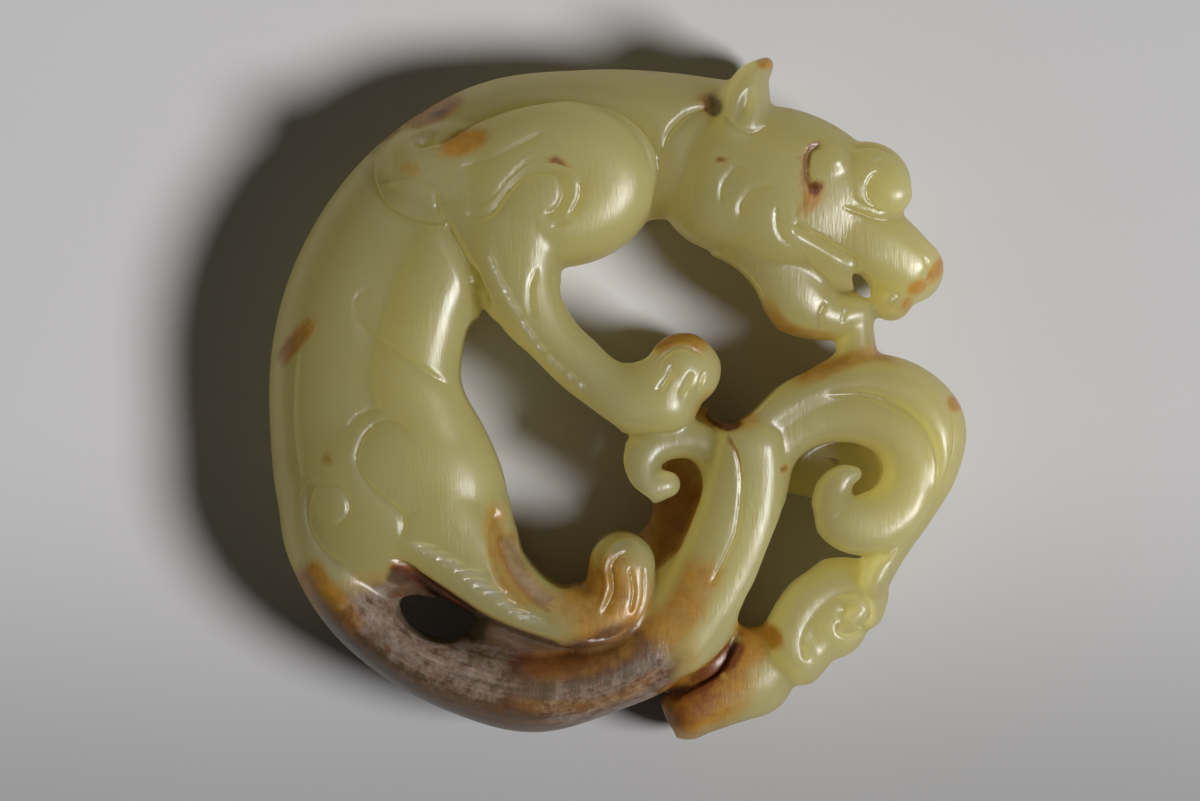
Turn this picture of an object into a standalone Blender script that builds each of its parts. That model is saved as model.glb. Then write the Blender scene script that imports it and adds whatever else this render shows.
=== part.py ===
"""Jade toggle carved as a beast curled into a ring, nose to tail.

One stone, one solid. Lengths are metres and +Z is up. The toggle lies on its back face: the
origin is on the surface it lies on, under the middle of its box, and the head is to the right.
"""

import math

import bmesh
import bpy
import numpy as np
from mathutils import Matrix

# Driving sizes
WIDTH = 0.060              # from the beast's back to the far side of its tail
THICKNESS = 0.018          # from the front face to the back face
FLAT_DEPTH = 0.0004        # how much is worn off the back, where the toggle lies
GROOVE_WIDTH = 0.0018      # a main carved line, from edge to edge
GROOVE_DEPTH = 0.0010
CORD_HOLE_LENGTH = 0.0062  # the slanting hole between the tail's root and the hind leg
CORD_HOLE_WIDTH = 0.0034
TRIANGLES = 9300

# The beast is laid out on a grid: a hundredth of the width across and up the face, and a
# thirtieth of the thickness in depth, with zero in the middle of the stone.
ACROSS = WIDTH / 100
DEEP = THICKNESS / 30
BACK = -15
CELL = WIDTH / 150

JADE = (0.40, 0.38, 0.17, 1.0)
JADE_ROUGHNESS = 0.25
PATH_STEPS = 5
END_ANGLES = (25, 45, 62, 76, 86)
ROUND = 28


def smooth_path(points, closed=False):
    """A smooth curve through rows of numbers, PATH_STEPS samples to each stretch."""
    rows = np.array(points, float)
    if closed:
        rows = np.vstack([rows[-1], rows, rows[0], rows[1]])
    else:
        rows = np.vstack([2 * rows[0] - rows[1], rows, 2 * rows[-1] - rows[-2]])
    path = []
    for before, start, end, after in zip(rows, rows[1:], rows[2:], rows[3:]):
        for t in np.arange(PATH_STEPS) / PATH_STEPS:
            place = start * (2 * t**3 - 3 * t**2 + 1) + end * (3 * t**2 - 2 * t**3)
            bend = (end - before) * (t**3 - 2 * t**2 + t) + (after - start) * (t**3 - t**2)
            path.append(place + bend / 2)
    if not closed:
        path.append(rows[-2])
    return np.array(path)


def full(wave, fullness):
    """Swell a sine or cosine: 2 leaves a section round, more brings it closer to its box."""
    return math.copysign(abs(wave) ** (2 / fullness), wave)


def domed(path, depths):
    """Rings (x, y, half width, half depth) along a path, rounded off past both ends."""
    rings = [[*place, depth] for place, depth in zip(path, depths)]
    first, last = [], []
    for end, inner, dome in ((rings[0], rings[1], first), (rings[-1], rings[-2], last)):
        ahead = np.array(end[:2]) - inner[:2]
        ahead /= np.linalg.norm(ahead)
        for angle in END_ANGLES:
            shrink = math.cos(math.radians(angle))
            place = end[:2] + ahead * end[2] * math.sin(math.radians(angle))
            dome.append([*place, end[2] * shrink, end[3] * shrink])
    return np.array(first[::-1] + rings + last)


def rough_out(name, form):
    """Keep a closed form as one of the pieces that are fused later."""
    mesh = bpy.data.meshes.new(name)
    form.to_mesh(mesh)
    form.free()
    roughing.objects.link(bpy.data.objects.new(name, mesh))


def limb(points, depth, middle=0.0, thinning=0.3, fullness=2.7):
    """A full, rounded form along (x, y, half width) points.

    It reaches `depth` to each side of the height `middle` where it is widest, and less
    where it is narrower, by the power `thinning`.
    """
    path = smooth_path(points)
    rings = domed(path, depth * (path[:, 2] / path[:, 2].max()) ** thinning)
    heading = np.gradient(rings[:, :2], axis=0)
    heading /= np.linalg.norm(heading, axis=1)[:, None]
    form = bmesh.new()
    loops = []
    for (x, y, half_width, half_depth), (along_x, along_y) in zip(rings, heading):
        loop = []
        for step in range(ROUND):
            turn = 2 * math.pi * step / ROUND
            aside = half_width * full(math.cos(turn), fullness)
            height = middle + half_depth * full(math.sin(turn), fullness)
            loop.append(form.verts.new(((x + along_y * aside) * ACROSS,
                                        (y - along_x * aside) * ACROSS, height * DEEP)))
        loops.append(loop)
    for near, far in zip(loops, loops[1:]):
        for step in range(ROUND):
            ahead = (step + 1) % ROUND
            form.faces.new((near[step], near[ahead], far[ahead], far[step]))
    form.faces.new(loops[0][::-1])
    form.faces.new(loops[-1])
    rough_out("limb", form)


def lobe(x, y, half_width, half_height, half_depth, turn=0.0, middle=0.0, fullness=2.6):
    """A full egg-shaped swelling, turned in the plane of the face."""
    form = bmesh.new()
    bmesh.ops.create_uvsphere(form, u_segments=40, v_segments=24, radius=1.0)
    for corner in form.verts:
        across = math.hypot(corner.co.x, corner.co.y)
        swell = full(across, fullness) / max(across, 0.001)
        corner.co = (corner.co.x * swell, corner.co.y * swell, full(corner.co.z, fullness))
    size = Matrix.Diagonal((half_width * ACROSS, half_height * ACROSS, half_depth * DEEP, 1))
    place = Matrix.Translation((x * ACROSS, y * ACROSS, middle * DEEP))
    form.transform(place @ Matrix.Rotation(math.radians(turn), 4, "Z") @ size)
    rough_out("lobe", form)


def body():
    limb([(14.5, 36.4, 9.6), (6, 36.5, 10.6), (-4, 36.4, 11), (-16, 33.5, 12.5),
          (-26.5, 26, 13), (-33.5, 16, 13), (-36.3, 5, 13.3), (-35.2, -8, 14.8),
          (-31, -17, 13)], 13.2, thinning=0.5, fullness=2.2)
    lobe(-9.2, 31, 14.6, 12, 15.2)
    lobe(-28.6, 32.6, 7.5, 6.2, 14.2, turn=35)
    lobe(-31.5, -8.5, 15, 15.5, 15.2, turn=60, fullness=2.3)


def head():
    limb([(15.5, 31, 9.8), (21.5, 30.5, 11.6), (28, 27.5, 11.2), (32, 24, 8.5)], 14.2)
    limb([(30, 25.5, 6.5), (36.5, 22, 6), (41.6, 18.6, 4.8)], 12)
    limb([(40.4, 17.6, 4.2), (39, 14.2, 2.9)], 10)
    limb([(20, 22, 6.8), (25.5, 15.2, 5.9), (30, 12.2, 3.8), (34.5, 12.4, 2.3)], 11)
    limb([(33.8, 13, 2.2), (34, 6, 3)], 8)
    for side in (1, -1):
        lobe(35, 30.4, 6.5, 6.4, 7.4, middle=side * 6.8)
        lobe(38.4, 29.6, 2.5, 2.3, 3.5, middle=side * 12)
        limb([(16.5, 38, 4), (18, 42.5, 3.1), (19.4, 46, 2.2), (20.8, 47.9, 1.1)], 7.5,
             middle=side * 5.5)


def fore_legs():
    for side in (1, -1):
        limb([(-15, 25, 7.6), (-14.2, 17, 6.3), (-10.2, 9.8, 4.2), (-4.6, 4.3, 4),
              (0.8, 0.3, 4.8), (6.5, 0.8, 5.4)], 7.9, middle=side * 7.1, thinning=0.15)
        limb([(3, 2, 5), (9.3, 4.3, 5.3)], 7, middle=side * 6.9)


def hind_legs():
    for side in (1, -1):
        limb([(-27, -16, 8.6), (-20.5, -23.5, 6.3), (-13, -28.6, 4.8), (-5.5, -31, 4.6),
              (-0.5, -29, 4.6), (1, -23.5, 4.1)], 7.9, middle=side * 7.1, thinning=0.15)
        limb([(-17.4, -15, 2), (-16.9, -20, 2.9), (-14, -25, 3.3)], 5.5, middle=side * 5)
    limb([(-18, -33, 3), (-8, -37, 3)], 8.5)


def tail_root():
    limb([(-42, -12, 6.4), (-41.4, -20, 6.2), (-37.5, -28.8, 5.4), (-31, -35.3, 5),
          (-22, -39.3, 5.8), (-12, -41.1, 6.6), (-2, -38.9, 6), (5, -34.5, 7),
          (11.5, -27, 6)], 10.8, thinning=0, fullness=2.3)


def front_tail():
    """The upper half of the split tail: a hook on the left, a scroll on the right."""
    limb([(11.5, -29, 5), (12.8, -21, 3.2), (14.6, -15, 2.4), (14.3, -9.4, 2.3), (11, -5.6, 2.5),
          (5.6, -6.2, 2.6), (2.9, -9, 2.9), (4, -12.2, 2.6), (7, -12, 1.8)], 7.5, middle=6)
    limb([(14, -30, 4.5), (17.4, -21.5, 3.7), (20.2, -14, 3.5), (21.7, -8, 3.5),
          (24.5, -4.4, 3.6), (29, -2.5, 3.6), (35, -2.7, 3.6), (39.8, -5.5, 3.6),
          (41.6, -10.5, 3.5), (40, -15.4, 3.9), (35.5, -18, 4.1), (31.6, -16.6, 3.8),
          (30.3, -13.2, 2.6), (32, -11, 1.9), (33.5, -10.5, 1.1)], 7.5, middle=6)
    limb([(13.5, -26, 3), (15.8, -19, 2.6), (16.9, -12, 2.6), (16, -6.2, 2.2)], 6, middle=4)


def rear_tail():
    """The lower half: a band under the hook, an outer loop, a volute and a cut slab."""
    limb([(8.7, -28, 6), (8.7, -20, 5.2), (9.6, -11, 4.6), (13, -5.5, 4), (19, -3.5, 4.8)],
         6.3, middle=-8)
    limb([(19, -4, 5), (25.5, 0, 4.4), (33, 2.4, 4.3), (40, 1.3, 4.6), (44.3, -3.4, 5.2),
          (44.4, -9.5, 4.2), (41.9, -15.3, 3.4), (38.6, -21.2, 2.7), (36.2, -26, 2.4)],
         12, middle=-1.5, thinning=0.15)
    limb([(23, -8.5, 4.5), (31, -9.6, 5), (39, -10, 4.5)], 5.5, middle=-9)
    limb([(26.8, -37.6, 3), (24.6, -34.5, 3.8), (26.4, -29.8, 4), (30.5, -26.8, 3.9),
          (34.7, -27.2, 3.9), (35, -30, 3.2)], 10, middle=-3.5)
    lobe(30.3, -32, 5.5, 5.4, 9.2, middle=-4)
    limb([(29.5, -33.5, 3.5), (26.3, -38, 3.2)], 9.3, middle=-4.5)
    limb([(10, -44.9, 4.2), (14.5, -41.5, 6), (19, -38.5, 7.2), (23, -35.5, 5)], 8.6, middle=-5.5,
         thinning=0.1)


def gap_below_head():
    return [(-8.3, 15.5), (-7.6, 18), (-4, 19.5), (0, 21), (3, 23), (5.5, 23.8), (11, 21.5),
            (16, 19.7), (19.5, 16.5), (21.6, 12), (24.5, 8.8), (30.3, 8.3), (31, 6.6),
            (27.6, 4.4), (23.2, 2), (19, -2), (15.8, -3.4), (12.8, -2), (14.2, 2), (14.6, 4.8),
            (13.4, 7.2), (11, 9.2), (8.5, 9.7), (6, 8.4), (4, 6), (1.5, 5.2), (-0.8, 5.9),
            (-3.5, 8.6), (-6.8, 12.4)]


def gap_in_belly():
    return [(-22.4, 2), (-22.2, 7.5), (-21, 11), (-19, 11.9), (-17, 11), (-15, 8.6), (-12.6, 6.6),
            (-8, 2), (-3, -1.8), (0.8, -5), (0.8, -9), (2, -12), (5, -14.8), (4.2, -18.3),
            (2.4, -18.6), (0, -17.8), (-2.6, -18.2), (-4.4, -19.6), (-4.8, -22.5), (-5.4, -25.6),
            (-7, -26.8), (-9.2, -26.3), (-11.6, -24.4), (-13.7, -21.6), (-14.6, -18),
            (-15.6, -14), (-17, -9), (-19.2, -4)]


def gap_in_tail():
    return [(16.9, -31.5), (17.7, -28.6), (19.2, -25.6), (20.6, -22), (22.4, -17.5), (24, -14.4),
            (27.4, -15), (28.4, -19.4), (30, -22), (28, -24.4), (25, -26.6), (22.8, -29.6),
            (21, -32.6), (18.6, -33)]


def slab_end():
    """The waste to the left of the slab, whose end is sawn straight."""
    return [(5.6, -42.9), (7, -46), (8.3, -48.6), (8.6, -53), (4, -53), (3.5, -47), (4.4, -43.8)]


def cord_hole():
    """A slanting oval, its sizes free of the grid."""
    centre_x, centre_y = -26.6, -31.2
    slant = math.radians(-27)
    outline = []
    for step in range(16):
        turn = 2 * math.pi * step / 16
        along = CORD_HOLE_LENGTH / 2 * math.cos(turn) / ACROSS
        aside = CORD_HOLE_WIDTH / 2 * math.sin(turn) / ACROSS
        x = centre_x + along * math.cos(slant) - aside * math.sin(slant)
        y = centre_y + along * math.sin(slant) + aside * math.cos(slant)
        outline.append((x, y))
    return outline


def mouth_hole():
    return [(33.2, 18), (35, 18.2), (36.2, 16.4), (35.6, 15), (34.2, 15.2), (33.2, 16.6)]


def drill(stone, outline, name):
    """Cut an outline right through the stone."""
    curve = bpy.data.curves.new(name, "CURVE")
    curve.dimensions = "2D"
    curve.fill_mode = "BOTH"
    curve.extrude = THICKNESS
    spline = curve.splines.new("POLY")
    path = smooth_path(outline, closed=True)
    spline.points.add(len(path) - 1)
    for point, (x, y) in zip(spline.points, path):
        point.co = (x * ACROSS, y * ACROSS, 0, 1)
    spline.use_cyclic_u = True
    prism = bpy.data.objects.new(name, curve)
    cutters.objects.link(prism)
    mesh = bpy.data.meshes.new_from_object(prism.evaluated_get(bpy.context.evaluated_depsgraph_get()))
    bpy.data.objects.remove(prism)
    form = bmesh.new()
    form.from_mesh(mesh)
    bmesh.ops.remove_doubles(form, verts=form.verts, dist=1e-6)
    form.to_mesh(mesh)
    form.free()
    cutter = bpy.data.objects.new(name, mesh)
    cutters.objects.link(cutter)
    cutter.hide_render = True
    cutter.display_type = "WIRE"
    cut = stone.modifiers.new(name, "BOOLEAN")
    cut.operation = "DIFFERENCE"
    cut.object = cutter


def fuse(stone, cell):
    """Melt everything inside the stone's surface into one skin."""
    skin = stone.modifiers.new("one skin", "REMESH")
    skin.mode = "VOXEL"
    skin.voxel_size = cell


def settle(stone):
    """Turn the stone's modifiers into its mesh."""
    mesh = bpy.data.meshes.new_from_object(stone.evaluated_get(bpy.context.evaluated_depsgraph_get()))
    stone.modifiers.clear()
    stone.data = mesh


def distance_to(path, places):
    """How far each (x, y) place is from a path, and how far along the path it is, from 0 to 1."""
    nearest = np.full(len(places), np.inf)
    along = np.zeros(len(places))
    for number, (start, end) in enumerate(zip(path, path[1:])):
        stretch = end - start
        share = np.clip((places - start) @ stretch / (stretch @ stretch), 0, 1)
        away = np.linalg.norm(places - start - share[:, None] * stretch, axis=1)
        closer = away < nearest
        nearest[closer] = away[closer]
        along[closer] = (number + share[closer]) / (len(path) - 1)
    return nearest, along


def groove_lines():
    """Carved lines on both faces: (points, share of the groove's depth, lowest height)."""
    return [
        # Shoulder, from the pit at its upper left round to the foreleg
        ([(-27.8, 36.6), (-24, 38), (-20, 40), (-14, 42), (-8, 43), (-2, 42.3), (2, 40), (5, 36.5),
          (5.9, 32), (5.4, 27), (3, 23)], 1.3, 3),
        ([(-22, 33), (-18, 34), (-14, 36), (-10, 38)], 0.9, 3),
        ([(-20, 26), (-18, 27), (-16, 29), (-14, 31.2), (-12, 32.2), (-10, 31.8), (-8.5, 30),
          (-8.5, 28), (-10, 26.5)], 1, 3),
        ([(-5.5, 30), (-5.6, 28), (-7, 26)], 0.8, 3),
        # Wing scroll
        ([(-34.2, 36), (-34.5, 31), (-32, 27.5), (-28, 25.6), (-24.5, 25.2)], 1.1, 3),
        ([(-34, 30.5), (-31, 31.3), (-27, 31), (-25, 29), (-25, 26.5)], 0.8, 3),
        # Between belly and foreleg
        ([(-24, 25), (-20.6, 18), (-20, 12)], 1.2, 3),
        # Back of the head
        ([(6, 25), (5.6, 33), (8, 39), (13, 42)], 1.1, 3),
        # Brow curl, lower eyelid and mouth
        ([(28.5, 36.5), (26.5, 34.5), (26, 32), (27, 30), (28.5, 29.5)], 1, 3),
        ([(33, 27), (37, 25.2), (41, 25.6)], 1.1, 3),
        ([(23, 25), (27, 22.5), (30, 20.5), (33.5, 18.5)], 1.2, 3),
        # Cheek curls
        ([(18, 33), (15.5, 31.5), (14.8, 29), (15.2, 27.5)], 0.7, 3),
        ([(21.5, 29.8), (19, 29.5), (17.5, 28), (17.3, 26)], 0.7, 3),
        # Thigh: its upper edge, the two curls and the edge to the tail
        ([(-22.5, 1.5), (-26, 3.5), (-30, 6.2), (-35, 9.5), (-37.5, 12)], 0.9, 3),
        ([(-30, -4.5), (-32, -3.8), (-34.5, -4), (-36, -6), (-36.2, -8.5), (-35.3, -11),
          (-33.5, -13.5), (-31, -15), (-29.3, -17), (-29.3, -19.5)], 1, 3),
        ([(-38, -6), (-37, -3), (-35, -1), (-32.5, -0.3)], 0.7, 3),
        ([(-44, -15), (-42.5, -13), (-40, -13), (-38.3, -15), (-38.8, -17.5), (-40.5, -18.3)], 1, 3),
        ([(-44, -16), (-43.5, -18.5), (-41.5, -21), (-39, -22.7), (-36, -23.5)], 1.1, 3),
        # Hind leg: its lower edge and its claws
        ([(-33, -22), (-29, -23.8), (-25, -26.3), (-20, -29.7)], 1, 1),
        ([(-19, -18), (-18.5, -22), (-17, -26), (-14.5, -29), (-11, -31)], 0.8, 3),
        ([(-3, -30), (-1.7, -27.5), (-1.8, -23.5)], 0.7, 3),
        ([(1.5, -24), (1.8, -27), (1, -30)], 0.7, 3),
        # Fore paw claws
        ([(7, 0), (6.3, 3), (5, 5)], 0.7, 3),
        ([(9.5, 0), (9, 3)], 0.7, 3),
    ]


def front_lines():
    """Lines on the front of the tail only."""
    return [
        ([(15, -4), (16.5, -8), (17, -12), (16.5, -17), (15, -22), (13, -26)], 1.5, 2),
        ([(17, -32.5), (14, -37), (10, -41), (7, -43.5)], 1.4, -8),
        ([(26.5, -37), (26.2, -33), (28, -29.5), (31, -27.3), (34, -26.7), (36.3, -27.7),
          (37, -30), (35.5, -32.5)], 1.2, -8),
    ]


def carve(stone, lines, face):
    """Sink carved lines into the front (face 1) or the back (face -1) of the stone."""
    mesh = stone.data
    count = len(mesh.vertices)
    places = np.empty(count * 3)
    facing = np.empty(count * 3)
    mesh.vertices.foreach_get("co", places)
    mesh.vertices.foreach_get("normal", facing)
    places = places.reshape(-1, 3)
    facing = facing.reshape(-1, 3)
    on_grid = places[:, :2] / ACROSS
    height = places[:, 2] / DEEP * face
    open_to_chisel = np.clip(facing[:, 2] * face * 2.5, 0, 1)
    sunk = np.zeros(count)
    half_width = GROOVE_WIDTH / 2 / ACROSS
    for points, share, lowest in lines:
        path = smooth_path(points)
        away, along = distance_to(path, on_grid)
        fade = np.clip(np.minimum(along, 1 - along) * 6 + 0.35, 0, 1)
        wall = np.clip(1 - away / half_width, 0, 1)
        cut = GROOVE_DEPTH * share * fade * wall * (2 - wall) * (height > lowest)
        sunk = np.maximum(sunk, cut)
    places -= facing * (sunk * open_to_chisel)[:, None]
    mesh.vertices.foreach_set("co", places.reshape(-1))
    mesh.update()


def wear_back(stone):
    """Take the back down to one plane, where the toggle lies."""
    bpy.ops.mesh.primitive_cube_add(size=2 * WIDTH, location=(0, 0, BACK * DEEP + FLAT_DEPTH - WIDTH))
    lap = bpy.context.active_object
    lap.hide_render = True
    lap.display_type = "WIRE"
    worn = stone.modifiers.new("worn back", "BOOLEAN")
    worn.operation = "DIFFERENCE"
    worn.object = lap
    settle(stone)
    bpy.data.objects.remove(lap)


def corners(stone):
    """The lowest and highest corner of the stone's box."""
    places = np.array([vertex.co for vertex in stone.data.vertices])
    return places.min(axis=0), places.max(axis=0)


for old in list(bpy.data.objects):
    bpy.data.objects.remove(old)
toggle = bpy.data.collections.new("jade toggle")
roughing = bpy.data.collections.new("roughed out")
cutters = bpy.data.collections.new("cutters")
for collection in (toggle, roughing, cutters):
    bpy.context.scene.collection.children.link(collection)

body()
head()
fore_legs()
hind_legs()
tail_root()
front_tail()
rear_tail()

for piece in roughing.objects:
    piece.select_set(True)
beast = roughing.objects[0]
bpy.context.view_layer.objects.active = beast
bpy.ops.object.join()
beast.name = "carved_beast"
toggle.objects.link(beast)
roughing.objects.unlink(beast)

fuse(beast, CELL)
for outline in (gap_below_head, gap_in_belly, gap_in_tail, cord_hole, mouth_hole, slab_end):
    drill(beast, outline(), outline.__name__)
fuse(beast, CELL)
polish = beast.modifiers.new("polish", "SMOOTH")
polish.iterations = 2
polish.factor = 0.5
settle(beast)
for cutter in list(cutters.objects):
    bpy.data.objects.remove(cutter)

carve(beast, groove_lines() + front_lines(), 1)
carve(beast, groove_lines(), -1)
thin = beast.modifiers.new("fewer faces", "DECIMATE")
beast.data.calc_loop_triangles()
thin.ratio = TRIANGLES / len(beast.data.loop_triangles)
settle(beast)
wear_back(beast)
low, high = corners(beast)
beast.data.transform(Matrix.Translation((-(low[0] + high[0]) / 2, -(low[1] + high[1]) / 2, -low[2])))

jade = bpy.data.materials.new("jade")
jade.use_nodes = True
shader = jade.node_tree.nodes["Principled BSDF"]
shader.inputs["Base Color"].default_value = JADE
shader.inputs["Roughness"].default_value = JADE_ROUGHNESS
shader.inputs["Metallic"].default_value = 0.0
beast.data.materials.clear()
beast.data.materials.append(jade)
beast.data.shade_smooth()
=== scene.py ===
import math

import bmesh
import bpy
import numpy as np
from mathutils import Matrix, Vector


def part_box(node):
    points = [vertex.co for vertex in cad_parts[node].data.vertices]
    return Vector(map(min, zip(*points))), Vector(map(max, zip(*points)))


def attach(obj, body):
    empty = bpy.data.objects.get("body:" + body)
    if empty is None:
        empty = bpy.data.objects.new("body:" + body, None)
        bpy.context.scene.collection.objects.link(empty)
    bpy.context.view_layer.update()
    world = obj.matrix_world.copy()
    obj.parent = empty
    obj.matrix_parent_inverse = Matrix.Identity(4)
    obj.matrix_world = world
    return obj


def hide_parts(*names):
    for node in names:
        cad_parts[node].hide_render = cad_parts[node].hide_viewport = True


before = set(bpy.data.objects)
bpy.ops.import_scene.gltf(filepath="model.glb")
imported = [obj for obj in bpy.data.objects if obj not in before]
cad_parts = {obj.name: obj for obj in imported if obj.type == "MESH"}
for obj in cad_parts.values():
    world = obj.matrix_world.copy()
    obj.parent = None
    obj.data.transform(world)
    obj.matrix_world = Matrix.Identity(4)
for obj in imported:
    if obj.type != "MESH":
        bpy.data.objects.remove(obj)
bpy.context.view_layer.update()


# The stone, roughed out: one piece of celadon jade, sawn and ground into a beast that curls
# nose to tail. It is laid out on a grid of hundredths of its width and thirtieths of its
# depth, and every limb is a full, rounded form that is ground into its neighbours.
low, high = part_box("carved_beast")
GRID_WIDTH = 99.95
GRID_DEPTH = 29.71
ACROSS = (high.x - low.x) / GRID_WIDTH
DEEP = (high.z - low.z) / GRID_DEPTH
GRID_MIDDLE = (-0.32, -0.10, -14.333)
PATH_STEPS = 8
END_ANGLES = (15, 30, 45, 58, 70, 80, 87)
ROUND = 40
GRAIN = ACROSS * 0.27
rough = []


def as_object(form, name):
    """Put a finished form into the scene."""
    mesh = bpy.data.meshes.new(name)
    form.to_mesh(mesh)
    form.free()
    piece = bpy.data.objects.new(name, mesh)
    bpy.context.scene.collection.objects.link(piece)
    return piece


def smooth_path(points, closed=False, steps=PATH_STEPS):
    """A smooth curve through rows of numbers, with `steps` samples to each stretch."""
    rows = np.array(points, float)
    if closed:
        rows = np.vstack([rows[-1], rows, rows[0], rows[1]])
    else:
        rows = np.vstack([2 * rows[0] - rows[1], rows, 2 * rows[-1] - rows[-2]])
    path = []
    for before, start, end, after in zip(rows, rows[1:], rows[2:], rows[3:]):
        for t in np.arange(steps) / steps:
            place = start * (2 * t**3 - 3 * t**2 + 1) + end * (3 * t**2 - 2 * t**3)
            bend = (end - before) * (t**3 - 2 * t**2 + t) + (after - start) * (t**3 - t**2)
            path.append(place + bend / 2)
    if not closed:
        path.append(rows[-2])
    return np.array(path)


def full(wave, fullness):
    """Swell a sine or cosine: 2 leaves a section round, more brings it closer to its box."""
    return math.copysign(abs(wave) ** (2 / fullness), wave)


def domed(path, depths):
    """Rings (x, y, half width, half depth) along a path, rounded off past both ends."""
    rings = [[*place, depth] for place, depth in zip(path, depths)]
    first, last = [], []
    for end, inner, dome in ((rings[0], rings[1], first), (rings[-1], rings[-2], last)):
        ahead = np.array(end[:2]) - inner[:2]
        ahead /= np.linalg.norm(ahead)
        for angle in END_ANGLES:
            shrink = math.cos(math.radians(angle))
            place = end[:2] + ahead * end[2] * math.sin(math.radians(angle))
            dome.append([*place, end[2] * shrink, end[3] * shrink])
    return np.array(first[::-1] + rings + last)


def limb(points, depth, middle=0.0, thinning=0.3, fullness=2.7):
    """A rounded form along (x, y, half width) points, `depth` to each side of `middle`.

    A pair of middles lets the form rise or sink from its first end to its last."""
    path = smooth_path(points)
    rings = domed(path, depth * (path[:, 2] / path[:, 2].max()) ** thinning)
    middles = np.linspace(*np.broadcast_to(middle, 2), len(rings))
    heading = np.gradient(rings[:, :2], axis=0)
    heading /= np.linalg.norm(heading, axis=1)[:, None]
    form = bmesh.new()
    loops = []
    for ring, (along_x, along_y), level in zip(rings, heading, middles):
        x, y, half_width, half_depth = ring
        loop = []
        for step in range(ROUND):
            turn = 2 * math.pi * step / ROUND
            aside = half_width * full(math.cos(turn), fullness)
            height = level + half_depth * full(math.sin(turn), fullness)
            loop.append(form.verts.new(((x + along_y * aside) * ACROSS,
                                        (y - along_x * aside) * ACROSS, height * DEEP)))
        loops.append(loop)
    for near, far in zip(loops, loops[1:]):
        for step in range(ROUND):
            ahead = (step + 1) % ROUND
            form.faces.new((near[step], near[ahead], far[ahead], far[step]))
    form.faces.new(loops[0][::-1])
    form.faces.new(loops[-1])
    rough.append(as_object(form, "limb"))


def lobe(x, y, half_width, half_height, half_depth, turn=0.0, middle=0.0, fullness=2.6):
    """A full egg-shaped swelling, turned in the plane of the face."""
    bpy.ops.mesh.primitive_uv_sphere_add(segments=64, ring_count=36, radius=1.0)
    piece = bpy.context.active_object
    for corner in piece.data.vertices:
        across = math.hypot(corner.co.x, corner.co.y)
        swell = full(across, fullness) / max(across, 0.001)
        corner.co = (corner.co.x * swell, corner.co.y * swell, full(corner.co.z, fullness))
    size = Matrix.Diagonal((half_width * ACROSS, half_height * ACROSS, half_depth * DEEP, 1))
    place = Matrix.Translation((x * ACROSS, y * ACROSS, middle * DEEP))
    piece.data.transform(place @ Matrix.Rotation(math.radians(turn), 4, "Z") @ size)
    rough.append(piece)


# Body, from the nape to the rump, with the shoulder, the wing plate and the thigh on it
limb([(14.5, 36.4, 9.6), (6, 36.5, 10.6), (-4, 36.4, 11), (-16, 33.5, 12.5), (-26.5, 26, 13),
      (-33.5, 16, 13), (-36.3, 5, 13.3), (-35.2, -8, 14.2), (-33.6, -17, 14.2)], 12.8,
     thinning=0.5, fullness=2.3)
limb([(-20, 27, 8), (-25.5, 18, 7.6), (-28.3, 10, 7.6), (-29.6, 3, 8.2), (-27.4, -6, 9),
      (-24.6, -14, 8.6)], 13.7, thinning=0.1, fullness=3)
lobe(-9.2, 31, 14.8, 12, 14.9, fullness=4.4)
limb([(-12, 32, 9), (-21, 32.4, 8.6), (-28.4, 32.4, 6.6)], 13.9, thinning=0.1, fullness=3.4)
lobe(-30.6, -12, 14.4, 15, 14.4, turn=60, fullness=3.4)

# Head: skull, muzzle, lips, lower jaw and the strut of beard down to the tail
limb([(15.5, 31, 9.8), (21.5, 30.5, 11.6), (28, 27.5, 11.2), (32, 24, 8.5)], 14, fullness=3.6)
limb([(29, 26, 6.5), (36.5, 22, 6), (41.6, 18.6, 4.8)], 12.8, fullness=3.2)
limb([(40.4, 17.6, 4.2), (39, 14.2, 2.9)], 10)
limb([(20, 22, 6.8), (25.5, 15.2, 5.9), (30, 12.2, 3.8), (34.5, 12.4, 2.3)], 11)
limb([(33.8, 13, 2.2), (34, 6, 3)], 8)

# Brows, eyes, ears, fore legs and hind legs, the same on both faces
for side in (1, -1):
    lobe(35, 30.4, 6.5, 6.4, 6.6, middle=side * 6.8)
    lobe(38.2, 29.3, 3.3, 3.1, 3, middle=side * 10.9, fullness=2.2)
    lobe(30.2, 33.6, 2.3, 2.3, 2.4, middle=side * 11.8, fullness=2.1)
    limb([(17.3, 38, 4.6), (18, 42.3, 3.7), (19.1, 45.6, 2.6), (20.9, 47.7, 1.2)], 8,
         middle=side * 5.5)
    limb([(-15, 25, 7.6), (-14.2, 17, 6.3), (-10.2, 9.8, 4.2), (-4.6, 4.3, 4), (0.8, 0.3, 4.8),
          (6.5, 0.8, 5.4)], 7.9, middle=side * 6.9, thinning=0.15, fullness=3.2)
    limb([(3, 2, 5), (9.3, 4.3, 5.3)], 7, middle=side * 6.9)
    limb([(-27, -16, 8.6), (-20.5, -23.5, 6.3), (-13, -28.6, 4.8), (-5.5, -31, 4.6),
          (-0.5, -29, 4.8), (0.6, -23.5, 4.7)], 7.9, middle=side * 6.6, thinning=0.15,
         fullness=3.1)
    limb([(-17.4, -15, 2), (-16.9, -20, 2.9), (-14, -25, 3.3)], 5.5, middle=side * 5)

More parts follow.
